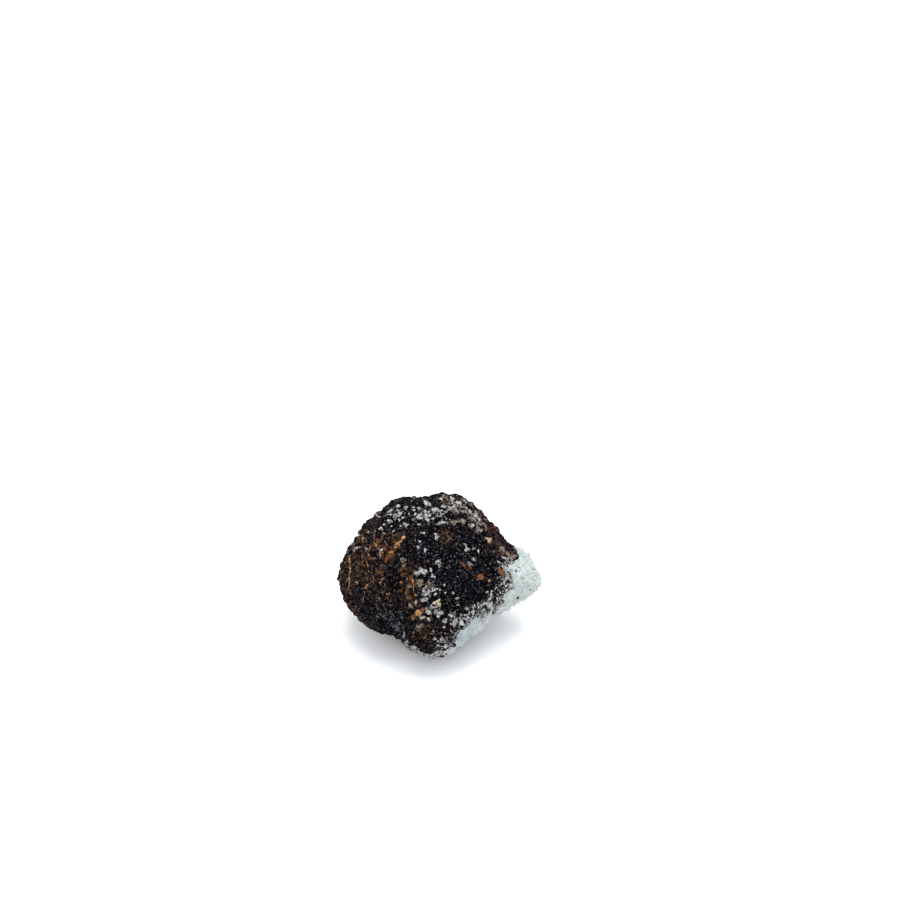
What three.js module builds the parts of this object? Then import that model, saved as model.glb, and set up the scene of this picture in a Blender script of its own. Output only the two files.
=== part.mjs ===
// A black truffle lying on its small flat spot: one solid, warty fruiting body with rounded lobes, a deep
// fold down its front, wrinkles on its left flank and right shoulder, and a blunt nose at its right end.
//
// Millimetres. +X points to the nose, +Z is up and -Y is the front. The origin is in the floor plane, in the
// middle of the truffle's outline from above. Every shape below is first worked out about the truffle's
// heart, a point near its middle, and a direction from the heart meets the skin once.

import * as THREE from "three";
import { ConvexHull } from "three/addons/math/ConvexHull.js";

// Driving sizes.
const FLOOR_DEPTH = 18.2; // from the heart down to the flat spot
const LOBE_BLEND = 2.0; // how softly neighbouring lobes run into each other
const WART_PITCH = 2.08; // least distance between the tips of two warts
const WART_RISE = 0.35; // from the smooth skin up to a mean wart's tip
const GROOVE_DROP = 0.3; // from the smooth skin down to the grooves round a wart
const WART_VARIETY = 0.4; // share by which a wart's rise differs from the mean
const FOLD_CROWDING = 0.24; // share by which warts stand closer in the folds
const SWELL_HEIGHT = 0.24; // of the low swells under the warts
const SWELL_LENGTHS = [19, 17, 15, 13, 12, 11, 10, 9, 8]; // from crest to crest
const SEED = 11;
const CANDIDATES = 40000; // places tried for warts

// The lobes, as ellipsoids: the middle and the three radii of each.
const LOBES = [
  { name: "core", at: [-1, 0, -0.5], radii: [20, 20, 19] },
  { name: "left lobe", at: [-12.8, 0, -0.5], radii: [14.6, 14.5, 14.5] },
  { name: "back shoulder", at: [-7.8, 10, 4.2], radii: [13.2, 12, 12.2] },
  { name: "crown", at: [3, 10, 5.5], radii: [12.5, 13, 12.5] },
  { name: "front lobe", at: [-1.5, -9.2, -5.8], radii: [10.5, 12, 11.4] },
  { name: "right flank", at: [10.5, 0.4, 0.9], radii: [12.6, 12, 13] },
  { name: "nose", at: [20.6, 0, -0.2], radii: [6.4, 6.5, 6.5] },
  { name: "top of the nose", at: [21.8, 1.6, 1.2], radii: [4.8, 5, 4.6] },
  { name: "nose tip", at: [26, -0.8, -0.7], radii: [2.6, 2.6, 2.6] },
];

// Folds, wrinkles and hollows follow paths over the skin. A path's points are azimuth and elevation from the
// heart in degrees, with azimuth 0 at the nose and -90 at the front, and the depth there in mm. A negative
// depth is a raised lip. Reach is how far to each side the fold is felt.
const FOLDS = [
  {
    name: "front fold",
    reach: 2.2,
    path: [
      [-141, 63, 0],
      [-132, 51, 1.2],
      [-127, 36, 2.4],
      [-124, 23, 3.2],
      [-122, 10, 3.7],
      [-121, -2, 4.1],
      [-118, -15, 4.2],
      [-112, -32, 2.8],
      [-102, -48, 1.2],
      [-90, -58, 0],
    ],
  },
  {
    name: "slope of the left lobe into the front fold",
    reach: 4.2,
    path: [
      [-146, 46, 0],
      [-137, 30, 0.7],
      [-133, 8, 1.2],
      [-131, -12, 1.2],
      [-124, -36, 0.6],
    ],
  },
  {
    name: "lip right of the front fold",
    reach: 2.8,
    path: [
      [-122, 60, 0],
      [-113, 46, -0.7],
      [-112, 30, -1.1],
      [-113, 15, -1.1],
      [-111, -1, -0.9],
      [-108, -14, -0.5],
      [-102, -28, 0],
    ],
  },
  {
    name: "long wrinkle on the left flank",
    reach: 0.8,
    path: [
      [158, 14, 0],
      [171, 18, 0.7],
      [-176, 19, 0.9],
      [-168, 14, 1.0],
      [-162, 6, 0.9],
      [-157, -3, 0.6],
      [-152, -12, 0],
    ],
  },
  {
    name: "upper wrinkle on the left flank",
    reach: 0.8,
    path: [
      [151, 33, 0],
      [173, 31, 0.7],
      [-168, 32, 0.8],
      [-153, 26, 0.7],
      [-148, 17, 0],
    ],
  },
  {
    name: "outer wrinkle on the right shoulder",
    reach: 1.3,
    path: [
      [92, 62, 0],
      [71, 62, 1.1],
      [47, 56, 1.5],
      [27, 47, 1.3],
      [12, 39, 0.7],
      [4, 33, 0],
    ],
  },
  {
    name: "inner wrinkle on the right shoulder",
    reach: 1.3,
    path: [
      [84, 76, 0],
      [51, 74, 1.0],
      [21, 66, 1.4],
      [8, 54, 1.2],
      [-2, 43, 0],
    ],
  },
  {
    name: "hollow above the front",
    reach: 6.0,
    path: [
      [-55, 55, 1.0],
      [-28, 44, 1.2],
    ],
  },
  {
    name: "waist behind the nose",
    reach: 2.6,
    path: [
      [-14, 38, 0],
      [4, 27, 0.3],
      [16, 12, 0.8],
      [20, -8, 1.2],
      [10, -28, 1.0],
      [-8, -34, 0.6],
    ],
  },
  {
    name: "back fold",
    reach: 2.2,
    path: [
      [94, 36, 0],
      [100, 25, 1.6],
      [107, 13, 2.6],
      [114, 1, 3.0],
      [117, -13, 2.8],
      [112, -28, 1.6],
      [104, -42, 0],
    ],
  },
  {
    name: "branch of the back fold",
    reach: 1.8,
    path: [
      [108, 12, 1.4],
      [127, 18, 1.8],
      [145, 14, 1.4],
      [158, 3, 0],
    ],
  },
  {
    name: "pit in the back",
    reach: 3.6,
    path: [
      [58, 14, 1.6],
      [66, 2, 2.6],
      [62, -10, 1.8],
    ],
  },
  {
    name: "wrinkle on the right back",
    reach: 1.3,
    path: [
      [38, 44, 0],
      [36, 26, 1.1],
      [38, 8, 1.3],
      [41, -12, 1.2],
      [38, -30, 0],
    ],
  },
];

// The unit direction at an azimuth and an elevation in degrees.
function directionAt(azimuth, elevation) {
  const fromZ = THREE.MathUtils.degToRad(90 - elevation);
  const aroundZ = THREE.MathUtils.degToRad(azimuth);
  const sine = Math.sin(fromZ);
  return new THREE.Vector3(
    sine * Math.cos(aroundZ),
    sine * Math.sin(aroundZ),
    Math.cos(fromZ),
  );
}

// About how far a point is outside a lobe; negative inside it.
function outsideLobe(p, lobe) {
  const [dx, dy, dz] = [p.x - lobe.at[0], p.y - lobe.at[1], p.z - lobe.at[2]];
  const [a, b, c] = lobe.radii;
  const scaled = Math.hypot(dx / a, dy / b, dz / c);
  const slope = Math.hypot(dx / a ** 2, dy / b ** 2, dz / c ** 2);
  return (scaled * (scaled - 1)) / Math.max(slope, 1e-9);
}

// About how far a point is outside all the lobes run together.
function outsideLobes(p) {
  const sum = LOBES.reduce(
    (total, lobe) => total + Math.exp(-outsideLobe(p, lobe) / LOBE_BLEND),
    0,
  );
  return -LOBE_BLEND * Math.log(sum);
}

// The point of the lobes' surface in a direction, found by halving.
function lobeSurface(direction) {
  const [NEAREST, FURTHEST, HALVINGS] = [4, 45, 26];
  let [near, far] = [NEAREST, FURTHEST];
  const trial = new THREE.Vector3();
  for (let i = 0; i < HALVINGS; i++) {
    const middle = (near + far) / 2;
    trial.copy(direction).multiplyScalar(middle);
    if (outsideLobes(trial) < 0) near = middle;
    else far = middle;
  }
  return trial.copy(direction).multiplyScalar((near + far) / 2);
}

// Each fold as straight stretches between points of the lobes' surface.
const STRETCHES = FOLDS.flatMap((fold) => {
  const stops = fold.path.map(([azimuth, elevation, depth]) => ({
    depth,
    at: lobeSurface(directionAt(azimuth, elevation)),
  }));
  return stops.slice(1).map((to, i) => ({
    fold,
    line: new THREE.Line3(stops[i].at, to.at),
    depths: [stops[i].depth, to.depth],
  }));
});

// How deep the folds are at a point of the lobes' surface. A fold counts once, by its nearest stretch.
function foldDepth(p) {
  const nearest = new Map();
  const foot = new THREE.Vector3();
  for (const { fold, line, depths } of STRETCHES) {
    const along = line.closestPointToPointParameter(p, true);
    const away = line.at(along, foot).distanceTo(p);
    if (away < (nearest.get(fold)?.away ?? Infinity)) {
      const depth = THREE.MathUtils.lerp(...depths, along);
      nearest.set(fold, { away, depth });
    }
  }
  let total = 0;
  for (const [fold, { away, depth }] of nearest) {
    total += depth * Math.exp(-((away / fold.reach) ** 2));
  }
  return total;
}

// How high the low swells are at a point: waves that each run their own way, in turns of the golden angle.
function swellHeight(p) {
  const GOLDEN_ANGLE = 137.5;
  return SWELL_LENGTHS.reduce((total, length, i) => {
    const steepness = 60 - (120 * i) / (SWELL_LENGTHS.length - 1);
    const across = directionAt(GOLDEN_ANGLE * i, steepness);
    const phase = (2 * Math.PI * p.dot(across)) / length + i;
    return total + SWELL_HEIGHT * Math.sin(phase);
  }, 0);
}

// The smooth skin in a direction, before any warts: its point, and how deep the folds are there.
function smoothSkin(direction) {
  const p = lobeSurface(direction);
  const depth = foldDepth(p);
  p.setLength(p.length() - depth + swellHeight(p));
  return { p, depth };
}

// A seeded random direction, even over the sphere.
function randomDirection() {
  const height = 2 * THREE.MathUtils.seededRandom() - 1;
  const turn = 2 * Math.PI * THREE.MathUtils.seededRandom();
  const across = Math.sqrt(1 - height ** 2);
  return new THREE.Vector3(
    across * Math.cos(turn),
    across * Math.sin(turn),
    height,
  );
}

// The warts: random places, kept where no other is nearer than the pitch, and each with a rise of its own.
// They crowd in the folds.
function placeWarts() {
  THREE.MathUtils.seededRandom(SEED);
  const placed = [];
  for (let i = 0; i < CANDIDATES; i++) {
    const direction = randomDirection();
    const { p, depth } = smoothSkin(direction);
    const pitch = WART_PITCH * (1 - FOLD_CROWDING * Math.min(Math.abs(depth), 1));
    if (placed.every((wart) => wart.p.distanceTo(p) >= pitch)) {
      placed.push({ direction, p });
    }
  }
  return placed.map((wart) => {
    const differs = WART_VARIETY * (2 * THREE.MathUtils.seededRandom() - 1);
    return { ...wart, rise: WART_RISE * (1 + differs) };
  });
}

// The skin as a closed mesh. The convex hull of the warts' directions joins neighbouring warts in threes.
// Each three meets at a corner of the grooves, and each wart is a low pyramid on the corners round it.
function truffleGeometry() {
  const warts = placeWarts();
  const indexOf = new Map(warts.map(({ direction }, i) => [direction, i]));
  const hull = new ConvexHull().setFromPoints([...indexOf.keys()]);
  const positions = warts.map(({ p }) => p);
  const cornerOf = new Map();
  for (const face of hull.faces) {
    const middle = new THREE.Vector3();
    for (const step of [face.edge, face.edge.next, face.edge.prev]) {
      middle.add(positions[indexOf.get(step.head().point)]);
    }
    cornerOf.set(face, positions.length);
    positions.push(smoothSkin(middle.normalize()).p);
  }

  const triangles = [];
  for (const face of hull.faces) {
    for (const edge of [face.edge, face.edge.next, face.edge.prev]) {
      const wart = indexOf.get(edge.tail().point);
      triangles.push(wart, cornerOf.get(edge.twin.face), cornerOf.get(face));
    }
  }

  const geometry = new THREE.BufferGeometry().setFromPoints(positions);
  geometry.setIndex(triangles);
  geometry.computeVertexNormals();
  const normals = geometry.getAttribute("normal");
  const normal = new THREE.Vector3();
  positions.forEach((p, i) => {
    const rise = warts[i]?.rise ?? -GROOVE_DROP;
    p.addScaledVector(normal.fromBufferAttribute(normals, i), rise);
    p.z = Math.max(p.z, -FLOOR_DEPTH); // the flat spot
  });
  geometry.setFromPoints(positions);

  geometry.computeBoundingBox();
  const middle = geometry.boundingBox.getCenter(new THREE.Vector3());
  return geometry.translate(-middle.x, -middle.y, FLOOR_DEPTH);
}

function truffle() {
  const skin = new THREE.MeshStandardMaterial({
    color: 0x1e1714,
    roughness: 0.8,
    metalness: 0,
  });
  const mesh = new THREE.Mesh(truffleGeometry(), skin);
  mesh.name = "truffle";
  return mesh;
}

const group = new THREE.Group();
group.add(truffle());

export default group;
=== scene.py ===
"""A black truffle with frost on it, lying on its flat spot.

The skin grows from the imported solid, in which each triangle holds the tip of one wart and two corners of
the grooves round it. Shapes are worked out in millimetres, in the solid's own frame, and turned into metres
when a mesh is made. Places that the photograph shows are named by their pixels and found on the skin along
the camera's rays. Places that it hides are named by their direction from the truffle's heart.
"""

import math

import bpy
import numpy as np
from mathutils import Matrix, Vector, noise
from mathutils.bvhtree import BVHTree


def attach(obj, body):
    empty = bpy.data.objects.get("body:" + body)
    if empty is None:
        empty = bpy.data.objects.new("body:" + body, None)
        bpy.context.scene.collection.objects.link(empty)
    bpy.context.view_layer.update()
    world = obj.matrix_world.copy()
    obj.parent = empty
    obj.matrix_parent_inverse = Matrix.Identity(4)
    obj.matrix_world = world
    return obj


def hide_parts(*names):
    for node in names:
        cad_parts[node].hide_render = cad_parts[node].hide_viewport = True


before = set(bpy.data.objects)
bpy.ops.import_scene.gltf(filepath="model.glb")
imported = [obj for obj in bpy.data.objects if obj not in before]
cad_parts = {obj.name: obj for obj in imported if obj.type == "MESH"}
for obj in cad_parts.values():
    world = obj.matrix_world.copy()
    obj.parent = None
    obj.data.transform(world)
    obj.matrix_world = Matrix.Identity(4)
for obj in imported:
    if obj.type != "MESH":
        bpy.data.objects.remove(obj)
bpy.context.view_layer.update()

MM = 0.001

# The camera, and the pixel at which it sees the truffle's heart.
PHOTO_PIXELS = 900
SENSOR_WIDTH = 36.0
HEART = np.array([-1.19, -0.85, 18.2])
HEART_PIXEL = (435.7, 575.8)
MM_PER_PIXEL = 0.29
CAMERA_DISTANCE = 470.0
VIEW_ELEVATION = math.radians(45)
FOCAL_PIXELS = CAMERA_DISTANCE / MM_PER_PIXEL

# The warts.
TIP_RISE = 0.35  # of the solid's tips over the smooth skin
CORNER_DROP = 0.3  # of the solid's groove corners under it
SPLIT = 5  # parts along each edge of the solid's triangles
SMOOTHING = 12  # rounds that take the facets out of the smooth skin
WART_HEIGHT = 0.65
GRAIN_HEIGHT = 0.2
RIDGE_HEIGHT = 0.5
STREAK_HEIGHT = 0.22
NET_HEIGHT = 0.5  # of the raised lines between the warts, where the skin is brown
WOBBLE = 0.32  # sideways, so that grooves don't run straight

# Veins: how far apart the points of their paths are, and the radius of those that the photograph hides.
VEIN_STEP_PIXELS = 0.9
VEIN_STEP = 0.35
HIDDEN_VEIN_RADIUS = 0.15

# A chip's layers from the lowest up: the share of its outline that each fills, and its height.
CHIP_LAYERS = [(1.0, -0.5), (1.0, 0.3), (0.75, 0.45), (0.4, 0.5)]
CHIP_CORNERS = 18  # points round each layer

# Frost.
NOSE_X = (15, 22)  # the crust turns from ragged to solid between these
BLUISH_SHADE_X = (24, 15)  # and from white to blue-grey painted shade between these
CRUST_THICKNESS = 0.9
TIP_HEIGHT = 0.8
CRUST_GRAINS = 5000
CRUST_GRAIN_RADII = (0.1, 0.24)
HIDDEN_FLECKS = 60
FLECK_GRAIN_RADII = (0.09, 0.22)
DUST_CLUMPS = 1500
DUST_GRAIN_RADII = (0.06, 0.17)
SEED = 4
MAP_SHARE = 0.94  # of its cell in a map for baking that a side of the cube fills

# The floor and the light, with sizes in metres.
FLOOR_SIZE = 4
FLOOR_COLOUR = (0.93, 0.935, 0.94)
SKY_COLOUR = (0.96, 0.98, 1.0)
SKY_STRENGTH = 1.3
KEY_LIGHT_PLACE = (0.04, 0.1, 0.5)
KEY_LIGHT_SIZE = 0.35
KEY_LIGHT_POWER = 2.0


# Small helpers.


def smoothstep(low, high, x):
    """0 below low, 1 above high, and smooth between them."""
    t = np.clip((x - low) / (high - low), 0, 1)
    return t * t * (3 - 2 * t)


def unit(vectors):
    return vectors / np.maximum(np.linalg.norm(vectors, axis=-1, keepdims=True), 1e-12)


def direction(azimuth, elevation):
    """The unit vector at an azimuth and an elevation in degrees. The nose is at 0 and the front at -90."""
    a, e = math.radians(azimuth), math.radians(elevation)
    return np.array([math.cos(e) * math.cos(a), math.cos(e) * math.sin(a), math.sin(e)])


def waves(points, length, shift=0.0):
    """Smooth noise from about -1 to 1, with features about as long as length, in mm."""
    return np.array([noise.noise(Vector(p)) for p in points / length + shift])


def grains(points, size, shift=0.0):
    """Rounded grains about as wide as size, in mm: 1 at the middle of a grain, towards 0 between grains."""
    nearest = [noise.voronoi(Vector(p))[0][0] for p in points / size + shift]
    return np.clip(1 - np.array(nearest) * 1.25, 0, 1)


def vertex_normals(points, triangles):
    a, b, c = (points[triangles[:, i]] for i in range(3))
    across = np.cross(b - a, c - a)
    total = np.zeros_like(points)
    for i in range(3):
        np.add.at(total, triangles[:, i], across)
    return unit(total)


def edges_of(triangles):
    pairs = np.concatenate([triangles[:, [0, 1]], triangles[:, [1, 2]], triangles[:, [2, 0]]])
    return np.unique(np.sort(pairs, axis=1), axis=0)


def neighbour_mean(values, edges):
    total = np.zeros_like(values)
    count = np.zeros(len(values))
    for one, other in ((0, 1), (1, 0)):
        np.add.at(total, edges[:, one], values[edges[:, other]])
        np.add.at(count, edges[:, one], 1)
    return total / count[:, None]


def distance_to_path(points, path):
    """How far each point is from a path of straight stretches."""
    best = np.full(len(points), np.inf)
    for a, b in zip(path[:-1], path[1:]):
        stretch = b - a
        t = np.clip((points - a) @ stretch / (stretch @ stretch), 0, 1)
        best = np.minimum(best, np.linalg.norm(points - a - t[:, None] * stretch, axis=1))
    return best


def near(distance, reach):
    """1 on a place, and falling off smoothly with distance from it."""
    return np.exp(-((distance / reach) ** 2))


# The camera.


def make_camera():
    """Sets the camera at the photograph's viewing angle. Gives its place, and right, up and forward."""
    beside = (PHOTO_PIXELS / 2 - HEART_PIXEL[0]) * MM_PER_PIXEL
    below = HEART_PIXEL[1] - PHOTO_PIXELS / 2
    back = np.array([0, -math.cos(VIEW_ELEVATION), math.sin(VIEW_ELEVATION)])
    place = HEART + CAMERA_DISTANCE * back + [beside, 0, 0]
    tilt = VIEW_ELEVATION - math.atan(below / FOCAL_PIXELS)
    right = Vector((1, 0, 0))
    forward = Vector((0, math.cos(tilt), -math.sin(tilt)))
    up = right.cross(forward)

    data = bpy.data.cameras.new("camera")
    data.sensor_width = SENSOR_WIDTH
    data.lens = FOCAL_PIXELS * SENSOR_WIDTH / PHOTO_PIXELS
    data.clip_start = 0.01
    camera = bpy.data.objects.new("camera", data)
    bpy.context.scene.collection.objects.link(camera)
    turned = Matrix((right, up, -forward)).transposed().to_4x4()
    camera.matrix_world = Matrix.Translation(Vector(place) * MM) @ turned
    bpy.context.scene.camera = camera
    return place, np.array(right), np.array(up), np.array(forward)


CAMERA_PLACE, CAMERA_RIGHT, CAMERA_UP, CAMERA_FORWARD = make_camera()


# The smooth skin.


def packed_solid():
    """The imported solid's points in mm, and its triangles."""
    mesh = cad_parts["truffle"].data
    copies = np.array([v.co for v in mesh.vertices]) / MM
    points, index = np.unique(np.round(copies, 3), axis=0, return_inverse=True)
    triangles = index.ravel()[np.array([p.vertices for p in mesh.polygons])]
    return points, triangles


def tips_first(triangles):
    """The same triangles, each turned so that its wart's tip comes first. Two tips never share an edge, so
    the tip of one triangle settles all the others. A wrong guess at the first one contradicts itself."""
    across = {}
    for t, triangle in enumerate(triangles.tolist()):
        for i in range(3):
            across[triangle[i], triangle[(i + 1) % 3]] = (t, triangle[(i + 2) % 3])
    for guess in range(3):
        tip_of = {0: triangles[0][guess]}
        waiting = [0]
        agrees = True
        while waiting and agrees:
            t = waiting.pop()
            triangle = triangles[t].tolist()
            for i in range(3):
                a, b = triangle[i], triangle[(i + 1) % 3]
                other, third = across[b, a]
                tip = tip_of[t] if tip_of[t] in (a, b) else third
                if other not in tip_of:
                    tip_of[other] = tip
                    waiting.append(other)
                agrees = agrees and tip_of[other] == tip
        if agrees:
            break
    turned = []
    for t, triangle in enumerate(triangles.tolist()):
        at = triangle.index(tip_of[t])
        turned.append(triangle[at:] + triangle[:at])
    return np.array(turned)


def split_triangles(points, triangles):
    """Each triangle split into a grid with SPLIT parts along an edge. Gives the points, the triangles, how
    far each point is from its wart's tip (0) to the groove (1), and its wart."""
    rows = [(row, column) for row in range(SPLIT + 1) for column in range(row + 1)]
    outward = np.array([(row / SPLIT) ** 0.85 for row, _ in rows])
    along = np.array([column / max(row, 1) for row, column in rows])
    weights = np.stack([1 - outward, outward * (1 - along), outward * along], axis=1)
    at = {cell: i for i, cell in enumerate(rows)}
    cells = []
    for row in range(SPLIT):
        for column in range(row + 1):
            cells.append((at[row, column], at[row + 1, column], at[row + 1, column + 1]))
            if column < row:
                cells.append((at[row, column], at[row + 1, column + 1], at[row, column + 1]))
    copies = np.einsum("gk,tkx->tgx", weights, points[triangles])
    faces = np.array(cells)[None] + len(rows) * np.arange(len(triangles))[:, None, None]
    copies = copies.reshape(-1, 3)
    _, first, index = np.unique(np.round(copies, 4), axis=0, return_index=True, return_inverse=True)
    to_groove = np.tile(outward, len(triangles))[first]
    wart = np.repeat(triangles[:, 0], len(rows))[first]
    return copies[first], index.ravel()[faces.reshape(-1, 3)], to_groove, wart


def smooth_skin():
    """The skin without its warts, as a fine mesh."""
    points, triangles = packed_solid()
    triangles = tips_first(triangles)
    normals = vertex_normals(points, triangles)
    relief = np.full(len(points), -CORNER_DROP)
    relief[triangles[:, 0]] = TIP_RISE
    lifted = points - relief[:, None] * normals
    on_floor = points[:, 2] < 0.001
    lifted[on_floor] = points[on_floor]
    fine, faces, to_groove, wart = split_triangles(lifted, triangles)
    edges = edges_of(faces)
    for _ in range(SMOOTHING):
        fine += 0.5 * (neighbour_mean(fine, edges) - fine)
    return fine, faces, edges, to_groove, wart


SKIN, FACES, EDGES, TO_GROOVE, WART = smooth_skin()
NORMALS = vertex_normals(SKIN, FACES)
TREE = BVHTree.FromPolygons(SKIN.tolist(), FACES.tolist())


def seen_at(pixel):
    """The point of the smooth skin that the camera sees at a pixel of the photograph. A pixel past the
    outline is moved towards the heart's pixel until the camera sees skin there."""
    hit = None
    at = np.array(pixel, float)
    while hit is None:
        across, down = at - PHOTO_PIXELS / 2
        ray = CAMERA_FORWARD * FOCAL_PIXELS + CAMERA_RIGHT * across - CAMERA_UP * down
        hit = TREE.ray_cast(Vector(CAMERA_PLACE), Vector(ray))[0]
        at += 0.02 * (np.array(HEART_PIXEL) - at)
    return np.array(hit)


def pixels_of(points):
    """The photograph's pixels at which the camera has some points, seen or hidden."""
    away = points - CAMERA_PLACE
    depth = away @ CAMERA_FORWARD
    flat = np.column_stack([away @ CAMERA_RIGHT, -(away @ CAMERA_UP)])
    return PHOTO_PIXELS / 2 + FOCAL_PIXELS * flat / depth[:, None]


def toward(azimuth, elevation):
    """The point of the smooth skin in a direction from the heart."""
    far = HEART + 100 * direction(azimuth, elevation)
    return np.array(TREE.ray_cast(Vector(far), Vector(HEART - far))[0])


def set_down(place, out, shown):
    """The point of the shown skin straight below a place near it, where out points up from the skin."""
    hit = shown.ray_cast(Vector(place + 2 * out), Vector(-out), 4)[0]
    return np.array(hit if hit is not None else shown.find_nearest(Vector(place))[0])


# Where the truffle has what. Pixels are the photograph's, and so are sizes beside pixels.

# Flecks of frost: pixel, width and height.
FLECKS = [
    (398, 506, 7.5, 2.5), (406, 508, 5, 3), (389, 511, 4.5, 4), (390, 514, 3, 3.5), (400, 513, 4, 3),
    (399, 516, 4.5, 3.5), (403, 518, 3, 3), (390, 522, 6, 4), (384, 525, 2.5, 2), (381, 529, 4, 3.5),
    (406, 525, 5, 5.5), (394, 532, 2, 3), (427, 504, 8, 4), (420, 515, 5, 4), (420, 519, 4.5, 4),
    (426, 517, 5.5, 3), (428, 520, 5, 3), (419, 524, 2.5, 2), (434, 510, 4, 4), (443, 507, 2.5, 4.5),
    (450, 509, 9, 5), (441, 523, 10, 4), (435.5, 534.5, 4.5, 2.5), (436, 538.5, 4, 4.5),
    (423, 534, 2, 4), (420, 541.5, 2.3, 2.3), (425, 550, 3, 4.5), (418, 547, 3, 4), (458, 503, 6, 4),
    (452, 498, 5, 2.5), (469.5, 511.3, 5, 3), (472, 526.5, 5, 4), (467, 549.5, 7, 3.5),
    (466, 545.3, 3, 4.5), (473.8, 548.6, 4, 2.5), (478, 552, 4, 3.6), (473.3, 559.5, 4, 3),
    (469.5, 564, 6, 4), (504, 558, 3.5, 5), (498.5, 562, 2, 2), (505, 568, 6, 6.5), (507, 575, 4.5, 6),
    (506, 579, 3, 3), (501, 584.5, 5, 3), (506.5, 586, 4, 4), (511, 585, 4, 3), (422, 571, 9, 8),
    (418, 573, 5, 4), (431, 570, 3, 5), (433, 576, 4, 6), (424, 590.5, 4, 5), (426, 594, 4, 6),
    (424, 600, 7, 5), (429, 590.5, 2.5, 2.5), (433, 590.5, 5, 3), (436.5, 589, 2.5, 2),
    (440, 590, 2, 2), (435, 594, 4, 2.5), (433.5, 607.5, 5, 3), (427.5, 611, 6, 6),
    (421, 617.5, 4, 2.5), (440.5, 613, 6, 4.5), (438, 616, 4, 3), (428.5, 618.5, 4, 3),
    (445, 621, 5, 6), (444, 627, 2.5, 2.5), (451.5, 616, 3.5, 4), (455.5, 620.5, 6.5, 4.5),
    (454.5, 624.5, 6, 4), (467, 608.5, 3, 3), (457, 598, 4.5, 2.5), (457.5, 605, 3.5, 2),
    (453, 592.5, 2, 2), (445.5, 592.5, 2, 1.5), (444.5, 585, 2, 2), (435, 638.5, 5, 3),
    (438, 641, 2.5, 2), (442, 639, 4, 4), (433, 630.5, 2, 2), (356.8, 548.6, 3.5, 4.5),
    (349, 545, 2.5, 2.5), (441, 499, 3, 2.5), (480, 532, 3, 2), (472.5, 612.3, 4, 4),
    (474, 607, 4, 3.5), (478.5, 607.5, 4, 3), (481.5, 605.5, 4, 3), (484.5, 603.5, 3.5, 3),
    (488.5, 605, 5, 5), (492, 607, 4, 4.5), (491, 602.5, 3.5, 3.5), (491, 596.5, 5, 6.5),
    (489, 600, 4, 3), (498, 607.5, 5, 5.5), (501.5, 606, 3, 4.5), (490.5, 614, 5.5, 4.5),
    (485, 614, 4.5, 3.5), (480, 616, 5, 3.5), (475, 619, 4, 3.5), (497, 613, 5, 4), (465, 615, 3.5, 2),
    (467.5, 617, 3, 2), (463.5, 618.5, 2, 3.5), (469, 613.5, 2.5, 4), (451, 624, 2, 2),
    (502, 603, 3, 3), (487, 592, 3, 1.5), (492, 591.5, 3, 1.5), (497, 588, 4, 1.5), (500.5, 586, 3, 2),
    (504, 582, 3, 3), (508, 584, 3.5, 2), (511, 580, 4, 5), (512, 586, 4, 4), (506, 590, 4, 2),
    (509, 592, 4, 2.5), (500, 593, 3, 1.5), (496, 598, 2, 2), (500, 599, 2.5, 1.5), (512, 563, 5, 3),
    (515, 566, 3, 3), (435.5, 509.5, 5, 4), (459.5, 503, 7, 4), (444, 507, 2.5, 4),
    (430, 515.5, 4, 2.5), (433, 518.5, 4.5, 3), (413, 519.5, 3, 2), (414, 511, 3, 2.5),
    (425, 511, 4, 2), (441, 511.5, 3, 3), (409, 514, 2, 2), (369, 520, 2.2, 2),
    (368.7, 532.2, 2.6, 2.2), (359.5, 535.7, 3.5, 2), (366.8, 549, 2.2, 2.2), (381.5, 550.4, 1.8, 2.5),
    (373.8, 514, 2.5, 4), (378.3, 517, 2.5, 3), (413.3, 507.6, 2, 2), (400.6, 526, 1.8, 1.5),
    (391.3, 526.5, 1.8, 1.5), (384, 533, 1.5, 4), (399.6, 520.8, 3, 1.2), (437.5, 561, 4, 3),
    (439.5, 565.5, 3, 3), (431.5, 606.5, 3, 3), (428.5, 613.5, 4, 3), (404, 634, 2.5, 5),
    (401.5, 639.5, 5, 3), (407.5, 642, 4, 3), (474, 517, 4, 2), (478, 521, 4, 2), (476, 512, 3, 2),
    (415, 514, 3, 2.5), (419, 508.5, 3, 2), (417, 518, 2.5, 2.5),
]
# Spots of colour: pixel and radius.
OCHRE_SPOTS = [
    (403.5, 538, 2), (398, 543.5, 3), (396, 546, 2), (378.5, 548.5, 2), (391.5, 552, 2.4),
    (490, 542, 2), (489.5, 580.5, 1.8), (422, 617, 2), (415, 595, 1.5), (401, 582, 1.8),
    (363, 539, 1.8), (366, 552, 1.5), (357.5, 583, 1.5), (380, 583.5, 1.5),
]
RUST_SPOTS = [
    (480, 577, 3.4), (501.5, 571, 3.2), (463.5, 564.5, 2.4), (470.5, 568, 2.4), (390, 554, 3),
    (396, 548, 3), (422, 610, 3), (413.5, 617, 3), (447, 637, 2), (414, 508, 2), (386, 561, 3),
    (402, 575, 2.4), (388, 557, 3), (401, 569, 2.2), (403, 583, 2.2), (401, 591, 2.2), (402, 599, 2),
    (380, 572, 2.4), (407, 589, 2.4), (410, 598, 2.2), (405, 606, 2.4), (411, 578, 2.2),
    (385, 549, 2.4), (378, 541, 2.2), (394, 541, 2.2),
]
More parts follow.
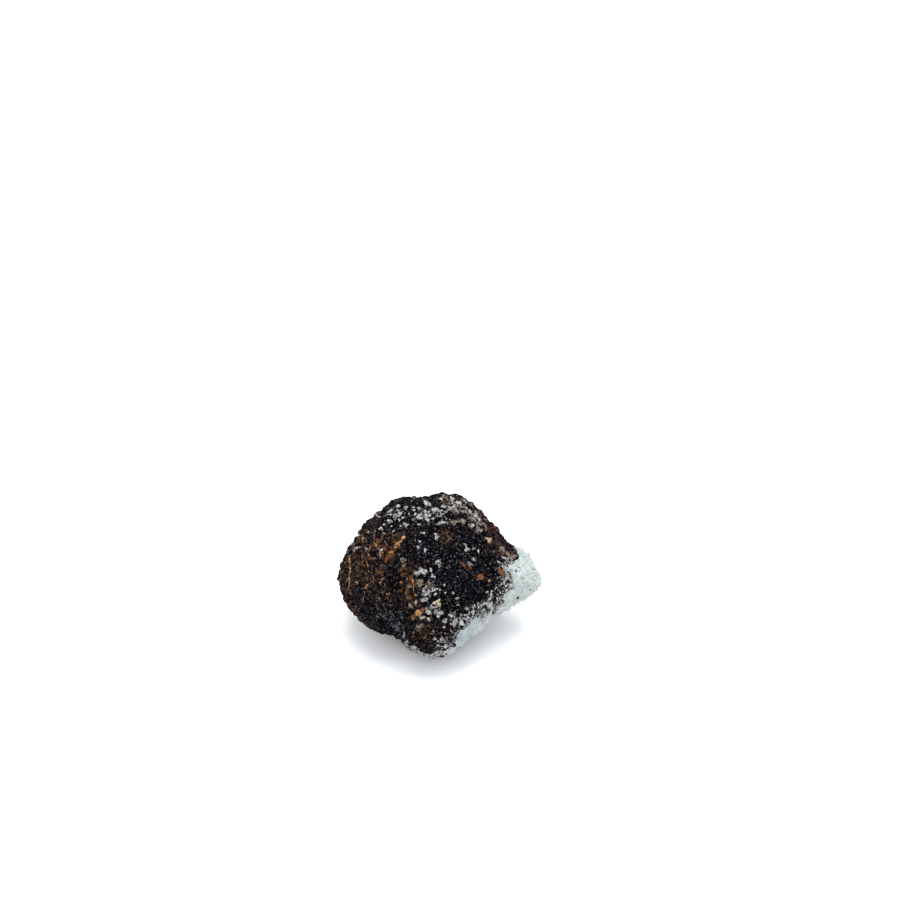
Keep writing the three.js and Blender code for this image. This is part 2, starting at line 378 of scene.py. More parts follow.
TAN_SPOTS = [
    (462.5, 520.5, 4.5), (471.5, 520, 4), (478, 524.5, 4), (453, 522.5, 3.5), (478.5, 530, 3.5),
    (471, 526, 2.5), (471, 506.5, 3), (420, 626, 3.5), (502, 549, 4), (508, 554, 4), (511, 559, 4),
    (420.5, 509, 2.6), (515, 549, 3), (514, 556, 3), (409, 586, 2.5), (407, 597, 2.5), (411, 606, 2.5),
    (407, 579, 2), (420, 582, 3.5), (430, 584, 3.5), (426, 587, 2.5), (431, 608, 2.5), (429, 613, 3),
    (456, 511, 3.5), (476, 515, 4), (416, 574, 3), (403, 560, 3), (405, 566, 2.5), (438, 563, 3),
    (433, 588, 2.5),
]
BROWN_SPOTS = [
    (362, 560, 22), (388, 545, 18), (346, 580, 20), (376, 580, 18), (408, 592, 16), (408, 572, 12),
    (355, 612, 15), (384, 590, 10), (490, 528, 18), (503, 552, 14), (424, 632, 15), (472, 508, 15),
    (448, 500, 12), (410, 605, 9), (411, 582, 9), (514, 551, 10), (445, 537, 9), (466, 503, 10),
    (480, 515, 10), (370, 522, 11), (358, 537, 10), (380, 513, 8), (386, 600, 12),
]
# Chips: pixel, width, height, tilt in degrees, corners, and tone from rust (0) to cream (1).
CHIPS = [
    (418.5, 612.5, 7, 7, 10, 5, 0.45), (437.3, 602.8, 12, 9.5, 183, 3, 0.95),
    (422.5, 609.5, 4, 4, 0, 3, 0.15), (416, 602, 2.6, 6.5, 0, 4, 0.9), (422.5, 617.5, 6, 2, 15, 4, 0.9),
    (488.4, 540, 9.5, 6, 150, 3, 0.75), (403.4, 538.4, 6, 3.2, 50, 4, 0.65),
    (480, 577, 7.5, 6.5, 20, 5, 0.0), (500.5, 571.8, 4.4, 12, 40, 4, 0.0),
    (413.5, 617.5, 4, 5, 0, 4, 0.15), (397.6, 544, 6, 3.2, 28, 4, 0.45),
    (392.5, 552.3, 4, 3, 20, 4, 0.4), (401.3, 541.8, 3, 2.4, 45, 4, 0.5),
]
# Spots where frost is scattered: pixel and radius.
DUSTY_SPOTS = [
    (453, 500.5, 4.5), (464, 501, 4), (439, 515, 4), (425, 515, 6), (398, 514, 5), (426, 595, 4.5),
    (452, 616, 3.5), (424, 573, 3), (437, 611, 3.5),
]
# The grey-tan ridges of the shoulder.
RIDGES = [
    [(442, 502), (454, 505), (466, 509), (477.5, 519.5), (486, 530)],
    [(445, 512.5), (456, 511.8), (466, 512.5), (475, 516.5), (483, 524)],
    [(447, 523), (458, 522), (466, 520), (474, 521.5), (482, 527.5)],
    [(469.5, 524), (475.5, 526.5), (481, 531.5)],
]
# The edge of the crust from the top of the nose to the front, and pixels past the nose that close it.
FROST_EDGE = [
    (515.5, 549.5), (517, 557.5), (511.5, 562), (508.5, 566.5), (509, 575), (513.5, 581), (511.5, 588.5),
    (505, 594), (503, 604.5), (496.5, 610.5), (488, 612.5), (479, 617.5), (469.5, 621), (464.5, 624.5),
    (462, 632.5), (459, 638.5), (454, 645), (448, 647.5), (443.5, 651), (442, 656),
]
PAST_THE_NOSE = [(442, 720), (640, 720), (640, 500), (515.5, 500)]
# Rows and columns of pixels between which scattered frost starts.
TOP_DUST_ROWS = (528, 514)
TOP_DUST_COLUMNS = (430, 446)
EDGE_DUST_ROWS = (556, 568)
# Holes in the crust, and tips that stand out of it: pixel and radius.
FROST_HOLES = [
    (518, 598, 1.5), (509.5, 579.5, 2), (506, 582, 1.5), (511.5, 587.5, 1.8), (516, 571, 1),
    (454, 633, 3), (449, 639, 3), (441, 646, 2.5),
]
FROST_TIPS = [(541, 583, 2.4), (537, 567, 1.6), (528, 555, 1.8), (521, 551, 1.6), (533, 594, 1.6)]
# The rim of thin frost at the bottom.
FROST_RIM = [(403, 642), (411, 647.5), (417, 649.5), (425.5, 655), (433, 655), (441, 654)]
# Streaks that run down into the front fold.
STREAKS = [
    [(386, 611), (392, 617), (398, 625), (402, 633)],
    [(383, 606), (390, 611), (397, 619), (402, 628)],
    [(389, 618), (394, 624), (400, 632), (403, 637)],
    [(379, 613), (386, 619), (393, 627), (399, 635)],
    [(400, 609), (401.3, 616), (403.5, 626), (406.5, 637)],
    [(376, 605), (383, 613), (388, 622)],
    [(395, 602), (399, 610), (400.5, 618)],
    [(399, 628), (402, 634), (406, 640), (411, 646)],
]
# Veins: radius in mm, and path.
VEINS = [
    (0.2, [(375.5, 529), (374.6, 535), (374.2, 541), (374.2, 543.5)]),
    (0.4, [(373.6, 542.5), (375.5, 544.8), (377.5, 547), (379.8, 549.8)]),
    (0.2, [(379, 549), (380.3, 555.5), (381, 563)]),
    (0.18, [(360, 565.5), (362.5, 562), (365, 560), (368.5, 558.5), (372.7, 558.5), (377.3, 557.8)]),
    (0.16, [(368.5, 558.5), (368.3, 552), (370.5, 547), (373.8, 544)]),
    (0.15, [(366.5, 560), (368, 565), (369.6, 571), (372.7, 573), (373.7, 577.5), (373.2, 582.5)]),
    (0.15, [(373.2, 582.5), (368.6, 583.5), (366, 586), (365, 591), (363.5, 596), (363.5, 601)]),
    (0.22, [(363.4, 532), (362.8, 536), (362.5, 540), (364, 544)]),
    (0.24, [(350, 556), (350.4, 562), (350.6, 570), (350.2, 576), (350.6, 588), (351.5, 597)]),
    (0.2, [(412.5, 578), (413.4, 583), (413.8, 588), (414, 592)]),
    (0.16, [(354, 551), (357, 545), (360, 541)]),
    (0.14, [(385, 541), (386.5, 544.5), (389, 548)]),
    (0.16, [(381.5, 564), (382, 571), (381, 576)]),
]

# Places that the photograph hides: azimuth and elevation from the heart in degrees, and radius in mm.
HIDDEN_BROWN = [
    (150, 5, 9), (108, 32, 6), (62, 10, 8), (-165, -25, 8), (128, -18, 9), (30, 20, 6), (85, -15, 7),
    (178, 20, 8), (40, -20, 7), (-60, -35, 7),
]
HIDDEN_VEINS = [
    (150, 10), (165, 25), (-165, -5), (140, -8), (112, 22), (100, -5), (82, 12), (58, 2), (172, -15),
    (40, 22), (70, 38), (128, 40),
]
HIDDEN_OCHRE = [
    (100, 10, 0.7), (140, 30, 0.6), (160, -5, 0.8), (163, -2, 0.5), (70, 35, 0.7), (73, 31, 0.5),
    (48, 5, 0.6), (120, -8, 0.5), (178, 5, 0.6),
]

# Colours.
BLACK = (0.0012, 0.0011, 0.0018)
# Painted highlight: the slate that the skin material puts on the tops of its grains.
SLATE_HIGHLIGHT = (0.024, 0.022, 0.0275)
GREY = (0.105, 0.098, 0.105)
ASH = (0.15, 0.15, 0.17)
BROWN = (0.036, 0.016, 0.008)
UMBER = (0.105, 0.053, 0.028)
RUST = (0.15, 0.056, 0.020)
OCHRE = (0.42, 0.22, 0.090)
TAN = (0.23, 0.222, 0.19)
PEACH = (0.35, 0.21, 0.125)
DULL_PEACH = (0.26, 0.20, 0.15)
CREAM = (0.45, 0.38, 0.28)
FROST = (0.475, 0.51, 0.495)
# Painted shade of the frost: blue-grey, in patches towards the band that faces down, and in the crust's
# hollows.
FROST_PAINTED_SHADE = (0.27, 0.335, 0.37)
# Painted shade for the deepest hollows of the crust.
FROST_PIT_SHADE = (0.10, 0.115, 0.12)
FLECK = (0.47, 0.462, 0.455)
FLECK_SHADE = (0.31, 0.31, 0.32)
FLECK_GREY = (0.155, 0.145, 0.14)


def spots_field(pixel_spots, hidden_spots=()):
    """1 on each of some spots and falling off round it. A spot is a pixel and its radius in pixels, or a
    direction and its radius in mm."""
    places = [(seen_at(spot[:2]), spot[2] * MM_PER_PIXEL) for spot in pixel_spots]
    places += [(toward(*spot[:2]), spot[2]) for spot in hidden_spots]
    field = np.zeros(len(SKIN))
    for place, reach in places:
        field = np.maximum(field, near(np.linalg.norm(SKIN - place, axis=1), reach))
    return field


def path_field(paths, reach):
    """1 on each of some paths of pixels and falling off beside it, with a reach in mm."""
    field = np.zeros(len(SKIN))
    for path in paths:
        stops = np.array([seen_at(pixel) for pixel in path])
        field = np.maximum(field, near(distance_to_path(SKIN, stops), reach))
    return field


# Meshes and materials.


def make_piece(name, points, faces, material):
    """A piece of the truffle from points in mm and triangles, which rides with the solid."""
    mesh = bpy.data.meshes.new(name)
    mesh.from_pydata((points * MM).tolist(), [], faces.tolist())
    mesh.shade_smooth()
    mesh.materials.append(material)
    piece = bpy.data.objects.new(name, mesh)
    bpy.context.scene.collection.objects.link(piece)
    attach(piece, "root")
    return piece


def add_values(piece, name, values):
    """Stores a number for each point of a piece, for its material."""
    attribute = piece.data.attributes.new(name, "FLOAT", "POINT")
    attribute.data.foreach_set("value", values.astype(np.float32))


class Nodes:
    """A material's nodes. Every value given to a node is a number, a colour or another node's output."""

    def __init__(self, name, roughness, **constants):
        self.material = bpy.data.materials.new(name)
        self.material.use_nodes = True
        self.tree = self.material.node_tree
        self.shader = self.tree.nodes["Principled BSDF"]
        self.shader.inputs["Roughness"].default_value = roughness
        for socket, value in constants.items():
            self.shader.inputs[socket.replace("_", " ")].default_value = value
        self.place = self.tree.nodes.new("ShaderNodeTexCoord").outputs["Object"]

    def put(self, socket, value):
        if isinstance(value, bpy.types.NodeSocket):
            self.tree.links.new(value, socket)
        elif socket.type == "RGBA":
            socket.default_value = (*value, 1)
        else:
            socket.default_value = value

    def attribute(self, name):
        node = self.tree.nodes.new("ShaderNodeAttribute")
        node.attribute_name = name
        return node.outputs["Fac"]

    def noise(self, size, detail=2.0, shift=0.0):
        """Noise from 0 to 1, with features about as long as size, in mm."""
        moved = self.tree.nodes.new("ShaderNodeVectorMath")
        self.put(moved.inputs[0], self.place)
        moved.inputs[1].default_value = (shift, shift, shift)
        node = self.tree.nodes.new("ShaderNodeTexNoise")
        self.put(node.inputs["Vector"], moved.outputs[0])
        node.inputs["Scale"].default_value = 1 / (size * MM)
        node.inputs["Detail"].default_value = detail
        return node.outputs["Fac"]

    def cells(self, size):
        """The distance from the middle of rounded cells about as wide as size, in mm."""
        node = self.tree.nodes.new("ShaderNodeTexVoronoi")
        self.put(node.inputs["Vector"], self.place)
        node.inputs["Scale"].default_value = 1 / (size * MM)
        return node.outputs["Distance"]

    def between(self, value, low, high):
        """0 where value is low, 1 where it is high."""
        node = self.tree.nodes.new("ShaderNodeMapRange")
        node.interpolation_type = "SMOOTHSTEP"
        self.put(node.inputs["Value"], value)
        node.inputs["From Min"].default_value = low
        node.inputs["From Max"].default_value = high
        return node.outputs["Result"]

    def maths(self, operation, a, b):
        node = self.tree.nodes.new("ShaderNodeMath")
        node.operation = operation
        self.put(node.inputs[0], a)
        self.put(node.inputs[1], b)
        return node.outputs[0]

    def mix(self, factor, a, b):
        node = self.tree.nodes.new("ShaderNodeMix")
        node.data_type = "RGBA"
        self.put(node.inputs["Factor"], factor)
        self.put(node.inputs["A"], a)
        self.put(node.inputs["B"], b)
        return node.outputs["Result"]

    def bump(self, height, distance, strength=1.0, under=None):
        node = self.tree.nodes.new("ShaderNodeBump")
        node.inputs["Strength"].default_value = strength
        node.inputs["Distance"].default_value = distance * MM
        self.put(node.inputs["Height"], height)
        if under is not None:
            self.put(node.inputs["Normal"], under)
        return node.outputs["Normal"]

    def finish(self, colour, normal):
        self.put(self.shader.inputs["Base Color"], colour)
        self.put(self.shader.inputs["Normal"], normal)
        return self.material


def skin_material():
    """Black warty skin: slate on the grains' tops as painted highlights, grey specks, a brown net between
    warts, spots and frost dust.
    """
    n = Nodes("truffle_skin", 0.85, Specular_IOR_Level=0.02)
    fine = n.noise(0.35, 3)

    def blob(name, size, shift):
        """Ragged spots where a stored number is high."""
        ragged = n.maths("MULTIPLY", n.noise(size, 3, shift), 2.0)
        return n.between(n.maths("ADD", n.attribute(name), ragged), 1.42, 1.62)

    # Slate on the grains' tops in places, and little deep in the grooves: painted highlights that stand in
    # for glints.
    light = n.between(n.noise(0.9, 2, 0.31), 0.48, 0.58)
    colour = n.mix(n.maths("MULTIPLY", light, n.between(n.attribute("grain_and_highlight"), 0.25, 0.65)), BLACK, SLATE_HIGHLIGHT)
    brown = n.maths("MULTIPLY", n.attribute("brown"), n.between(n.noise(3.2, 2, 0.73), 0.36, 0.56))
    blotch = n.maths("MULTIPLY", brown, n.between(n.noise(0.9, 3, 0.57), 0.52, 0.62))
    colour = n.mix(blotch, colour, BROWN)
    speck = n.between(n.noise(0.5, 2, 1.3), 0.61, 0.67)
    colour = n.mix(speck, colour, n.mix(brown, GREY, UMBER))
    line = n.maths("MULTIPLY", n.attribute("net"), n.between(n.noise(0.6, 3, 0.66), 0.42, 0.6))
    colour = n.mix(line, colour, n.mix(n.between(n.noise(1.1, 2, 0.13), 0.48, 0.66), UMBER, PEACH))
    streak = n.maths("MULTIPLY", n.attribute("streaks"), n.between(n.noise(0.7, 3, 0.47), 0.46, 0.56))
    colour = n.mix(streak, colour, ASH)
    tan = n.mix(n.between(n.noise(2.2, 2, 0.77), 0.48, 0.6), TAN, DULL_PEACH)
    colour = n.mix(blob("tan", 0.5, 0.91), colour, n.mix(n.between(fine, 0.42, 0.56), BROWN, tan))
    colour = n.mix(blob("rust", 0.5, 0.21), colour, n.mix(n.between(fine, 0.4, 0.56), BROWN, RUST))
    colour = n.mix(blob("ochre", 0.5, 0.37), colour, n.mix(n.between(fine, 0.4, 0.56), RUST, OCHRE))
    dust = n.maths("ADD", n.noise(0.45, 1, 0.83), n.maths("MULTIPLY", n.attribute("dust"), 0.22))
    colour = n.mix(n.between(dust, 0.78, 0.88), colour, FLECK)

    normal = n.bump(n.cells(0.42), 0.07, 0.5)
    normal = n.bump(fine, 0.12, 0.8, normal)
    return n.finish(colour, normal)


def frost_material():
    """White frost with painted shade: blue-grey in patches towards the band along the lower right edge, and
    grey to nearly black in the crust's lowest places.
    """
    n = Nodes("frost", 0.6, Specular_IOR_Level=0.3, Subsurface_Weight=0.12, Subsurface_Scale=0.0005)
    # Blue-grey patches towards the band along the lower right edge, which faces down, and grey where the
    # crust is lowest: painted shade.
    bluish_band_shade = n.maths("MULTIPLY", n.attribute("bluish_band_shade"), 0.68)
    shaded_patches = n.maths("MULTIPLY", n.between(n.noise(2.4, 2), 0.42, 0.62), bluish_band_shade)
    shade = n.maths("ADD", shaded_patches, n.maths("MULTIPLY", n.attribute("pit_shade"), 0.7))
    colour = n.mix(shade, FROST, FROST_PAINTED_SHADE)
    # Nearly black where the crust is lowest: painted shade in its hollows.
    deep_pit_shade = n.maths("ADD", n.attribute("pit_shade"), n.noise(0.4, 2))
    colour = n.mix(n.between(deep_pit_shade, 1.36, 1.54), colour, FROST_PIT_SHADE)
    normal = n.bump(n.cells(0.25), 0.05, 0.5)
    normal = n.bump(n.noise(0.16, 2), 0.07, 0.6, normal)
    return n.finish(colour, normal)


def fleck_material():
    """Whitish frost of the flecks and of the scattered grains."""
    n = Nodes("flecks", 0.6, Specular_IOR_Level=0.3)
    colour = n.mix(n.between(n.noise(0.8, 2), 0.4, 0.6), FLECK, FLECK_SHADE)
    colour = n.mix(n.between(n.noise(1.1, 3, 0.45), 0.53, 0.62), colour, FLECK_GREY)
    return n.finish(colour, n.bump(n.noise(0.16, 2), 0.07, 0.6))


def vein_material():
    """Brown, and ochre in places."""
    n = Nodes("veins", 0.8, Specular_IOR_Level=0.05)
    lighter = n.mix(n.between(n.noise(0.4, 2), 0.4, 0.6), UMBER, PEACH)
    lighter = n.mix(n.between(n.noise(3.0, 1, 0.29), 0.5, 0.6), lighter, OCHRE)
    colour = n.mix(n.between(n.noise(1.0, 3), 0.4, 0.58), BROWN, lighter)
    return n.finish(colour, n.bump(n.noise(0.2, 2), 0.05, 0.6))


def chip_material():
    """Rust, ochre or tan, by a stored tone from 0 to 1."""
    n = Nodes("chips", 0.75, Specular_IOR_Level=0.15)
    tone = n.attribute("tone")
    colour = n.mix(n.between(tone, 0.0, 0.55), RUST, OCHRE)
    colour = n.mix(n.between(tone, 0.55, 1.0), colour, CREAM)
    colour = n.mix(n.between(n.noise(0.5, 3), 0.47, 0.62), colour, UMBER)
    return n.finish(colour, n.bump(n.noise(0.3, 3), 0.15, 0.9))


def floor_material():
    return Nodes("floor", 0.9, Base_Color=(*FLOOR_COLOUR, 1)).material


# The skin.


def past_frost_edge():
    """How far each skin point lies past the edge of the crust, in mm as the camera sees it. Before the edge
    it is negative."""
    x, y = pixels_of(SKIN).T
    outline = np.array(FROST_EDGE + PAST_THE_NOSE)
    inside = np.zeros(len(SKIN), bool)
    for (ax, ay), (bx, by) in zip(outline, np.roll(outline, -1, axis=0)):
        crosses = (ay > y) != (by > y)
        inside ^= crosses & (x < ax + (y - ay) * (bx - ax) / (by - ay if by != ay else 1))
    distance = distance_to_path(np.column_stack([x, y]), np.array(FROST_EDGE)) * MM_PER_PIXEL
    return np.where(inside, distance, -distance)


def crust_field(past):
    """Where frost lies as a thick crust: solid over the nose, ragged along the lower right edge."""
    ragged = 1.3 * waves(SKIN, 2.6, 5.3) + 0.8 * waves(SKIN, 1.1, 9.1)
    solid = smoothstep(*NOSE_X, SKIN[:, 0])
    turned_away = smoothstep(-0.05, -0.5, NORMALS @ -CAMERA_FORWARD)
    underneath = smoothstep(-0.5, -0.9, NORMALS[:, 2])
    holes = (1 - solid) * (1.8 * waves(SKIN, 2.3, 2.9) + turned_away * (2.4 + 4 * waves(SKIN, 4.5, 7.7)))
    holes += 7 * underneath * (0.7 + waves(SKIN, 3.3, 1.9)) + 7 * spots_field(FROST_HOLES)
    return smoothstep(-1.8, 1.6, past + 0.2 + ragged - holes)


def dust_field(past):
    """Where specks of frost are scattered: beside the crust, over the top and in the dusty spots."""
    across, down = pixels_of(SKIN).T
    hidden = smoothstep(0.1, -0.1, NORMALS @ -CAMERA_FORWARD)
    top = smoothstep(26, 35, SKIN[:, 2]) * (0.2 + 0.9 * waves(SKIN, 4, 1.7))
    top *= smoothstep(*TOP_DUST_ROWS, down)
    top *= np.maximum(hidden, smoothstep(*TOP_DUST_COLUMNS, across))
    beside = 0.75 * smoothstep(-5, -0.5, past) * smoothstep(*EDGE_DUST_ROWS, down)
    return np.maximum.reduce([top, beside, 1.1 * spots_field(DUSTY_SPOTS)])


def net_field(brown):
    """The lines between warts, where they are raised and brown."""
    here = smoothstep(0.35, 0.75, brown) * smoothstep(-0.2, 0.05, waves(SKIN, 2.6, 6.6))
    return here * smoothstep(0.76, 0.95, TO_GROOVE)


def streak_field():
    """Thin streaks that run down into the front fold, broken here and there."""
    streaks = path_field(STREAKS, 0.3)
    return streaks * smoothstep(-0.25, 0.1, waves(SKIN, 1.3, 8.8))


def skin_points(crust, net, streaks):
    """The skin with its warts, grains and wrinkles, lowered where the crust lies on it."""
    rng = np.random.default_rng(SEED)
    wobble = np.stack([waves(SKIN, 1.7, shift) for shift in (11.5, 27.5, 41.5)], axis=1)
    base = SKIN + WOBBLE * wobble
    height = WART_HEIGHT * (1 + 0.4 * rng.uniform(-1, 1, WART.max() + 1))[WART]
    plate = height * (1 - TO_GROOVE**2.1) - WART_HEIGHT * 0.45
    grain_and_highlight = grains(base, 1.0)
    lift = plate + GRAIN_HEIGHT * (grain_and_highlight - 0.4) + 0.14 * waves(base, 0.85) + 0.06 * waves(base, 0.5)
    lift += NET_HEIGHT * net
    lift += RIDGE_HEIGHT * path_field(RIDGES, 0.55)
    lift += STREAK_HEIGHT * streaks
    lift -= CRUST_THICKNESS * smoothstep(0.6, 1.0, crust)
    on_floor = smoothstep(0.0, 0.9, SKIN[:, 2])
    points = base + (lift * on_floor)[:, None] * NORMALS
    points[:, 2] = np.maximum(points[:, 2], 0)
    return points, grain_and_highlight


def add_map(piece, points, faces, shown=None):
    """A map for baking: each face is flattened on the side of a cube that it looks at. Faces after the
    number shown are never seen, and share a small corner."""
    middle = unit(points[faces].mean(axis=1) - HEART)
    axis = np.argmax(np.abs(middle), axis=1)
    rows = np.arange(len(faces))
    side = axis * 2 + (middle[rows, axis] > 0)
    corners = unit(points[faces] - HEART)
    others = np.array([[1, 2], [2, 0], [0, 1]])[axis]
    flat = np.take_along_axis(corners, others[:, None, :], axis=2)
    flat = flat / np.abs(np.take_along_axis(corners, axis[:, None, None], axis=2))
    flat = np.clip(np.arctan(flat) / math.radians(90), -0.52, 0.52)
    cell = np.stack([side % 3, side // 3], axis=1)
    uv = (cell[:, None, :] + 0.5 + MAP_SHARE * flat) * np.array([1 / 3, 1 / 2])
    uv[shown or len(uv):] = [0.001, 0.001]
    set_map(piece, uv)


def set_map(piece, uv):
    layer = piece.data.uv_layers.new(name="OFBake")
    layer.uv.foreach_set("vector", uv.astype(np.float32).ravel())


def make_skin(past, crust):
    brown = spots_field(BROWN_SPOTS, HIDDEN_BROWN)
    net = net_field(brown)
    streaks = streak_field()
    points, grain_and_highlight = skin_points(crust, net, streaks)
    piece = make_piece("truffle_skin", points, FACES, skin_material())
    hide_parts("truffle")
    add_values(piece, "net", net)
    add_values(piece, "streaks", streaks)
    # The grains' heights, faded towards the grooves: where the skin material paints slate highlights.
    add_values(piece, "grain_and_highlight", grain_and_highlight * (1 - 0.7 * smoothstep(0.78, 1.0, TO_GROOVE)))
    add_values(piece, "brown", brown)
    add_values(piece, "ochre", spots_field(OCHRE_SPOTS, HIDDEN_OCHRE))
    add_values(piece, "rust", spots_field(RUST_SPOTS))
    add_values(piece, "tan", np.maximum(spots_field(TAN_SPOTS), 0.64 * path_field(RIDGES, 0.5)))
    add_values(piece, "dust", dust_field(past))
    add_map(piece, points, FACES)
    return points


def tube(path, radii, sides=6):
    """A tube with closed ends along a path of points, as points and triangles."""
    along = unit(np.gradient(path, axis=0))
    rings = []
    for place, forward, radius in zip(path, along, radii):
        out = unit(place - HEART)
        beside = unit(np.cross(forward, out))
        up = np.cross(beside, forward)
        turns = 2 * np.pi * np.arange(sides) / sides
        rings.append(place + radius * (np.cos(turns)[:, None] * beside + np.sin(turns)[:, None] * up))
    points = np.concatenate([*rings, path[:1], path[-1:]])
    faces = []
    last = len(path) - 1
    for i in range(sides):
        j = (i + 1) % sides
        for ring in range(last):
            a, b = ring * sides, (ring + 1) * sides
            faces += [(a + i, b + i, b + j), (a + i, b + j, a + j)]
        faces += [(len(points) - 2, i, j), (len(points) - 1, last * sides + j, last * sides + i)]
    return points, np.array(faces)


def seen_vein(stops, rng):
    """Points of the smooth skin along a path of pixels, a little unsteady."""
    stops = np.array(stops, float)
    lengths = np.concatenate([[0], np.cumsum(np.linalg.norm(np.diff(stops, axis=0), axis=1))])
    at = np.arange(0, lengths[-1], VEIN_STEP_PIXELS)
    pixels = np.column_stack([np.interp(at, lengths, stops[:, i]) for i in (0, 1)])
    pixels += rng.normal(size=pixels.shape) * 0.25
    return [seen_at(pixel) for pixel in pixels]


def hidden_vein(place, shown, rng):
    """Points of the shown skin along a path that wanders away from a place."""
    heading = rng.uniform(-180, 180)
    path = [place]
    for _ in range(rng.integers(14, 34)):
        heading += rng.normal() * 16
        out = unit(place - HEART)
        side = unit(np.cross([0, 0, 1], out))
        step = math.cos(math.radians(heading)) * side
        step = step + math.sin(math.radians(heading)) * np.cross(out, side)
        place = np.array(shown.find_nearest(Vector(place + VEIN_STEP * step))[0])
        path.append(place)
    return path


def make_veins(shown):
    """Thin veins that lie on the skin, along the photograph's paths and over the sides that it hides."""
    rng = np.random.default_rng(SEED)
    paths = [seen_vein(stops, rng) for _, stops in VEINS]
    paths += [hidden_vein(toward(*place), shown, rng) for place in HIDDEN_VEINS]
    radii = [radius for radius, _ in VEINS] + [HIDDEN_VEIN_RADIUS] * len(HIDDEN_VEINS)
    points, faces, count = [], [], 0
    for path, radius in zip(paths, radii):
        path = np.array([shown.find_nearest(Vector(place))[0] for place in path])
        for _ in range(3):
            path[1:-1] = (path[:-2] + 2 * path[1:-1] + path[2:]) / 4
        path += (0.03 + 0.45 * max(0, radius - HIDDEN_VEIN_RADIUS)) * unit(path - HEART)
        ends = np.minimum(np.arange(len(path)), np.arange(len(path))[::-1])
        uneven = radius * rng.uniform(0.7, 1.2, len(path)) * np.clip(0.35 + ends / 4, 0, 1)
        tube_points, tube_faces = tube(path, uneven)
        points.append(tube_points)
        faces.append(tube_faces + count)
        count += len(tube_points)
    points = np.concatenate(points)
    points[:, 2] = np.maximum(points[:, 2], 0.01)
    make_piece("veins", points, np.concatenate(faces), vein_material())


def chip_points(x, y, wide, tall, tilt, corners, rng):
    """The points of a chip: its layers from the lowest up, the middle of its top and that of its bottom."""
    turns = 2 * np.pi * np.arange(CHIP_CORNERS) / CHIP_CORNERS
    side = 2 * np.pi / corners
    rough = 0.14 * min(wide, tall) / max(wide, tall)
    bent = np.cos(side / 2) / np.cos(turns % side - side / 2)
    bent += rng.uniform(-rough, rough, CHIP_CORNERS)
    c, d = math.cos(math.radians(tilt)), math.sin(math.radians(tilt))
    layers = []
    for reach, lift in CHIP_LAYERS:
        across = reach * bent * wide / 2 * np.cos(turns)
        up = reach * bent * tall / 2 * np.sin(turns)
        pixels = np.column_stack([x + c * across - d * up, y - d * across - c * up])
        on_skin = np.array([seen_at(pixel) for pixel in pixels])
        lifts = lift + rng.uniform(-0.13, 0.13, (CHIP_CORNERS, 1))
        layers.append(on_skin + lifts * unit(on_skin - HEART))
    top = layers[-1].mean(axis=0)
    bottom = layers[0].mean(axis=0)
    return np.concatenate([*layers, [top], [bottom - 0.3 * unit(bottom - HEART)]])


def chip_faces():
    """The triangles of one chip."""
    top = CHIP_CORNERS * len(CHIP_LAYERS)
    highest = top - CHIP_CORNERS
    faces = []
    for i in range(CHIP_CORNERS):
        j = (i + 1) % CHIP_CORNERS
        for a in range(0, highest, CHIP_CORNERS):
            b = a + CHIP_CORNERS
            faces += [(a + i, a + j, b + j), (a + i, b + j, b + i)]
        faces += [(highest + i, highest + j, top), (j, i, top + 1)]
    return np.array(faces)


def make_chips():
    """Small flat chips of old skin and soil that stick to the truffle."""
    rng = np.random.default_rng(SEED)
    chips = [chip_points(*chip, rng) for *chip, _ in CHIPS]
    each = len(chips[0])
    faces = np.concatenate([chip_faces() + i * each for i in range(len(chips))])
    piece = make_piece("chips", np.concatenate(chips), faces, chip_material())
    add_values(piece, "tone", np.repeat([tone for *_, tone in CHIPS], each))


# The frost.


def split_in_four(values, faces):
    """Triangles split at the middles of their edges, with a row of values for each corner."""
    edges = edges_of(faces)
    at = {tuple(edge): len(values) + i for i, edge in enumerate(edges.tolist())}
    values = np.concatenate([values, values[edges].mean(axis=1)])
    split = []
    for a, b, c in faces.tolist():
        ab, bc, ca = (at[min(pair), max(pair)] for pair in ((a, b), (b, c), (c, a)))
        split += [(a, ab, ca), (ab, b, bc), (ca, bc, c), (ab, bc, ca)]
    return values, np.array(split)


def rim_of(faces):
    """The edges that only one triangle has."""
    once = np.concatenate([faces[:, [0, 1]], faces[:, [1, 2]], faces[:, [2, 0]]]).tolist()
    both_ways = {tuple(pair) for pair in once}
    return [(a, b) for a, b in once if (b, a) not in both_ways]


